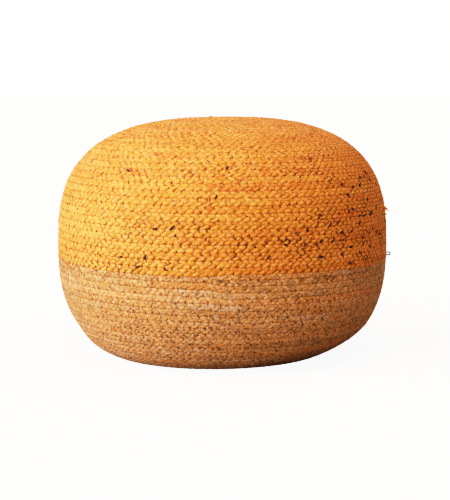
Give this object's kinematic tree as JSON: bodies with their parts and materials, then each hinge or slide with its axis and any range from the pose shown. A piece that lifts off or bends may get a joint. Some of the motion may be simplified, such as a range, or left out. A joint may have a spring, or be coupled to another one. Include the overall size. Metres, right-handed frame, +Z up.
{
  "type": "braided jute pouf",
  "caption": "Round filled floor pouf with a domed top and a flat base, covered in spirally sewn flat braid, dyed above and natural below, for sitting on or resting the feet.",
  "frame": {"origin": "on the floor, under the middle of the cover's own spiral", "axes": "+Z up along the axis that the braid is wound round; -Y towards the side that the picture shows, +X to its right"},
  "size_m": [0.5028, 0.4973, 0.3601],
  "materials": {
    "dyed_braid": "matte jute braid dyed golden orange",
    "natural_braid": "matte undyed jute braid, light brown"
  },
  "bodies": {
    "root": {"dyed_braid": "dyed_braid", "natural_braid": "natural_braid"}
  },
  "joints": []
}
